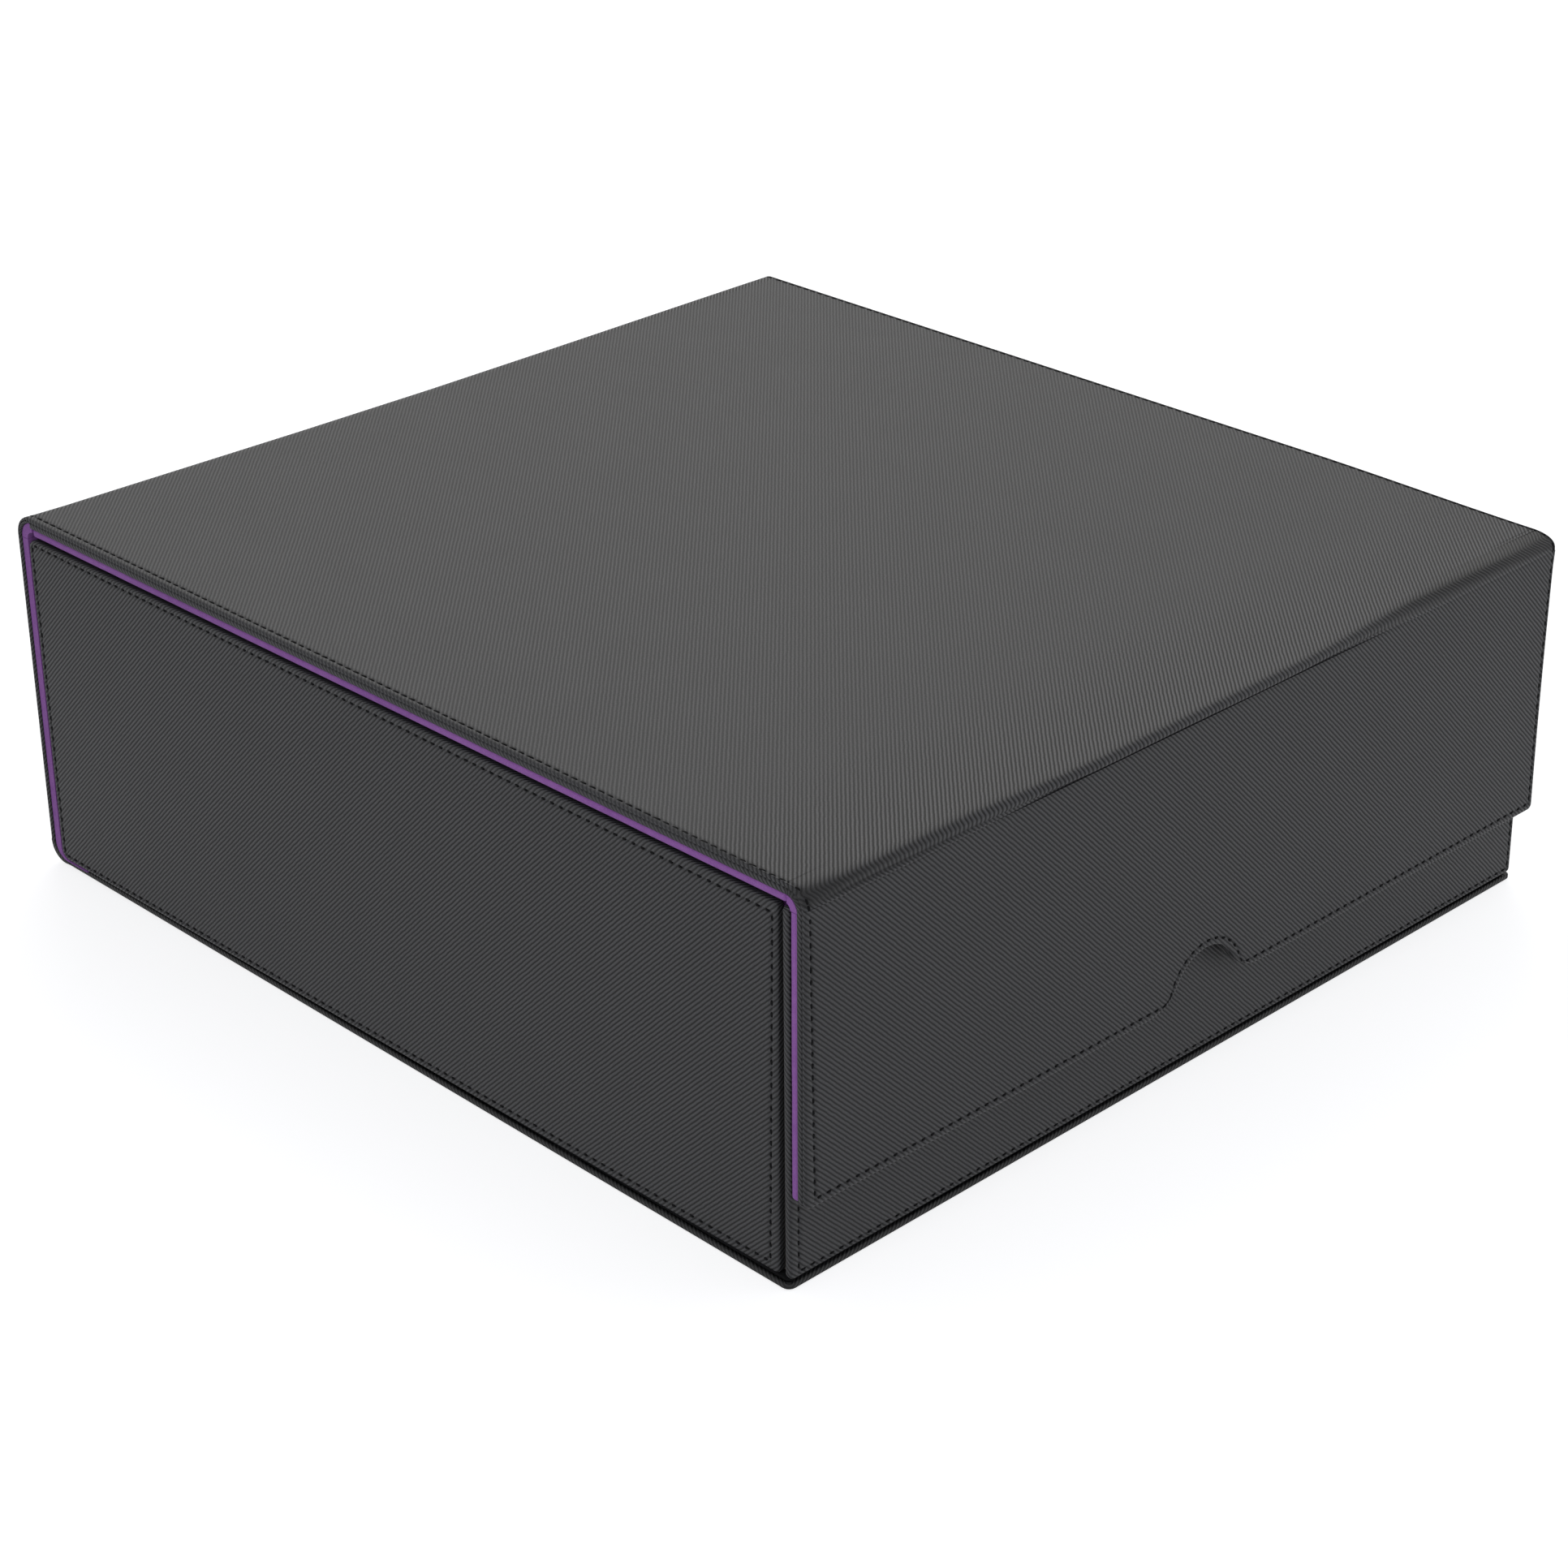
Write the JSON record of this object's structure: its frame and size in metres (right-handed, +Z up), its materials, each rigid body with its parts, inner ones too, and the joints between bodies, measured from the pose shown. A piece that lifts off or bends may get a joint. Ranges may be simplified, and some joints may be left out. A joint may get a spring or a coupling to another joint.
{
  "type": "card storage box",
  "caption": "Flat rectangular card storage box in a ribbed dark wrap with a fold-back lid, a drop flap with a thumb notch, purple lining and long card rows.",
  "frame": {"origin": "on the surface the box stands on, under the middle of the closed box", "axes": "+X to the right seen from the front, +Y to the back where the lid hinges, +Z up; the flap faces -Y"},
  "size_m": [0.292, 0.313, 0.11],
  "materials": {
    "textured_skin": "satin",
    "purple_lining": "matte",
    "grey_board": "matte",
    "black_paper": "matte",
    "plated_steel": "satin"
  },
  "bodies": {
    "lid": {"top_skin": "textured_skin", "top_board": "grey_board", "top_lining": "purple_lining", "front_fold": "textured_skin", "front_lining_fold": "purple_lining", "rear_fold": "textured_skin", "rear_lining_fold": "purple_lining"},
    "flap": {"flap_skin": "textured_skin", "flap_board": "grey_board", "flap_lining": "purple_lining", "flap_magnet_1": "plated_steel", "flap_magnet_2": "plated_steel", "flap_magnet_3": "plated_steel", "flap_magnet_4": "plated_steel"},
    "tray": {"back_skin": "textured_skin", "back_board": "grey_board", "back_lining": "purple_lining", "base_fold": "textured_skin", "base_skin": "textured_skin", "base_board": "grey_board", "base_sheet": "black_paper", "left_wall_skin": "textured_skin", "left_wall_board": "grey_board", "left_wall_lining": "purple_lining", "right_wall_skin": "textured_skin", "right_wall_board": "grey_board", "right_wall_lining": "purple_lining", "front_wall_skin": "textured_skin", "front_wall_board": "grey_board", "front_stiffener": "grey_board", "front_wall_lining": "purple_lining", "keeper_disc_1": "plated_steel", "keeper_disc_2": "plated_steel", "keeper_disc_3": "plated_steel", "keeper_disc_4": "plated_steel", "back_stiffener": "grey_board", "back_wall_lining": "purple_lining", "floor_board": "grey_board", "floor_lining": "purple_lining", "partition_lining_1": "purple_lining", "partition_lining_2": "purple_lining", "partition_lining_3": "purple_lining", "partition_board_1": "grey_board", "partition_board_2": "grey_board", "partition_board_3": "grey_board"},
    "divider_1": {"divider_1": "textured_skin"},
    "divider_2": {"divider_2": "textured_skin"},
    "divider_3": {"divider_3": "textured_skin"},
    "divider_4": {"divider_4": "textured_skin"}
  },
  "joints": [
    {"name": "lid_hinge", "type": "hinge", "parent": "tray", "child": "lid", "pos_m": [0, 0.1557, 0.10845], "axis": [-1, 0, 0], "range_deg": [0, 180], "deforming": ["rear_fold", "rear_lining_fold"]},
    {"name": "flap_hinge", "type": "hinge", "parent": "lid", "child": "flap", "pos_m": [0, -0.15495, 0.10845], "axis": [-1, 0, 0], "range_deg": [0, 180], "deforming": ["front_fold", "front_lining_fold"]},
    {"name": "divider_1_slide", "type": "slide", "parent": "tray", "child": "divider_1", "axis": [0, -1, 0], "range_m": [0, 0.2903]},
    {"name": "divider_2_slide", "type": "slide", "parent": "tray", "child": "divider_2", "axis": [0, -1, 0], "range_m": [0, 0.2903]},
    {"name": "divider_3_slide", "type": "slide", "parent": "tray", "child": "divider_3", "axis": [0, -1, 0], "range_m": [0, 0.2903]},
    {"name": "divider_4_slide", "type": "slide", "parent": "tray", "child": "divider_4", "axis": [0, -1, 0], "range_m": [0, 0.2903]}
  ]
}
